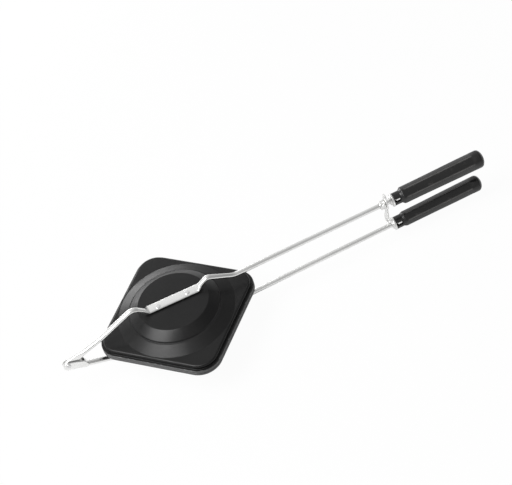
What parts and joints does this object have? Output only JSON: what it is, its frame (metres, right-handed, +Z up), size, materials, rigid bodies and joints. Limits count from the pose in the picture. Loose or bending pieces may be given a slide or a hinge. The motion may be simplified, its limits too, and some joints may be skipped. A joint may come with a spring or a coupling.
{
  "type": "stovetop sandwich toaster",
  "caption": "Stovetop sandwich toaster: hinged clamshell of square dished pans with stepped round domes, riveted to bent wire handles with black faceted grips and a hanging latch.",
  "frame": {"origin": "under the middle of the flat of the lower handle, below the lower pan's disc", "axes": "+X from the hinge towards the grips, +Z up from the lower pan to the upper pan, +Y to the far side of the picture"},
  "size_m": [0.4725, 0.1656, 0.0744],
  "materials": {
    "pan_coating": "dark non-stick coating, satin",
    "plated_wire": "nickel plated",
    "sheet_steel": "pressed sheet, satin",
    "rivet_metal": "plain, upset heads",
    "grip_plastic": "black phenolic moulding, half gloss"
  },
  "bodies": {
    "lower_half": {"lower_pan": "pan_coating", "lower_wire": "plated_wire", "hinge_pin": "rivet_metal", "lower_rivet_front": "rivet_metal", "lower_rivet_rear": "rivet_metal", "lower_grip": "grip_plastic", "lower_grip_cap": "grip_plastic", "lower_ferrule": "sheet_steel", "lower_cross_pin": "plated_wire"},
    "upper_half": {"upper_pan": "pan_coating", "upper_wire": "plated_wire", "upper_rivet_front": "rivet_metal", "upper_rivet_rear": "rivet_metal", "upper_grip": "grip_plastic", "upper_grip_cap": "grip_plastic", "upper_ferrule": "sheet_steel", "upper_cross_pin": "plated_wire", "latch_collar": "sheet_steel"},
    "latch": {"latch": "sheet_steel"}
  },
  "joints": [
    {"name": "clamshell_hinge", "type": "hinge", "parent": "lower_half", "child": "upper_half", "pos_m": [-0.1202, 0, 0.02982], "axis": [0, -1, 0], "range_deg": [0, 170]},
    {"name": "latch_swing", "type": "hinge", "parent": "upper_half", "child": "latch", "pos_m": [0.2361, 0, 0.04179], "axis": [1, 0, 0], "range_deg": [-11.5, 110]}
  ]
}
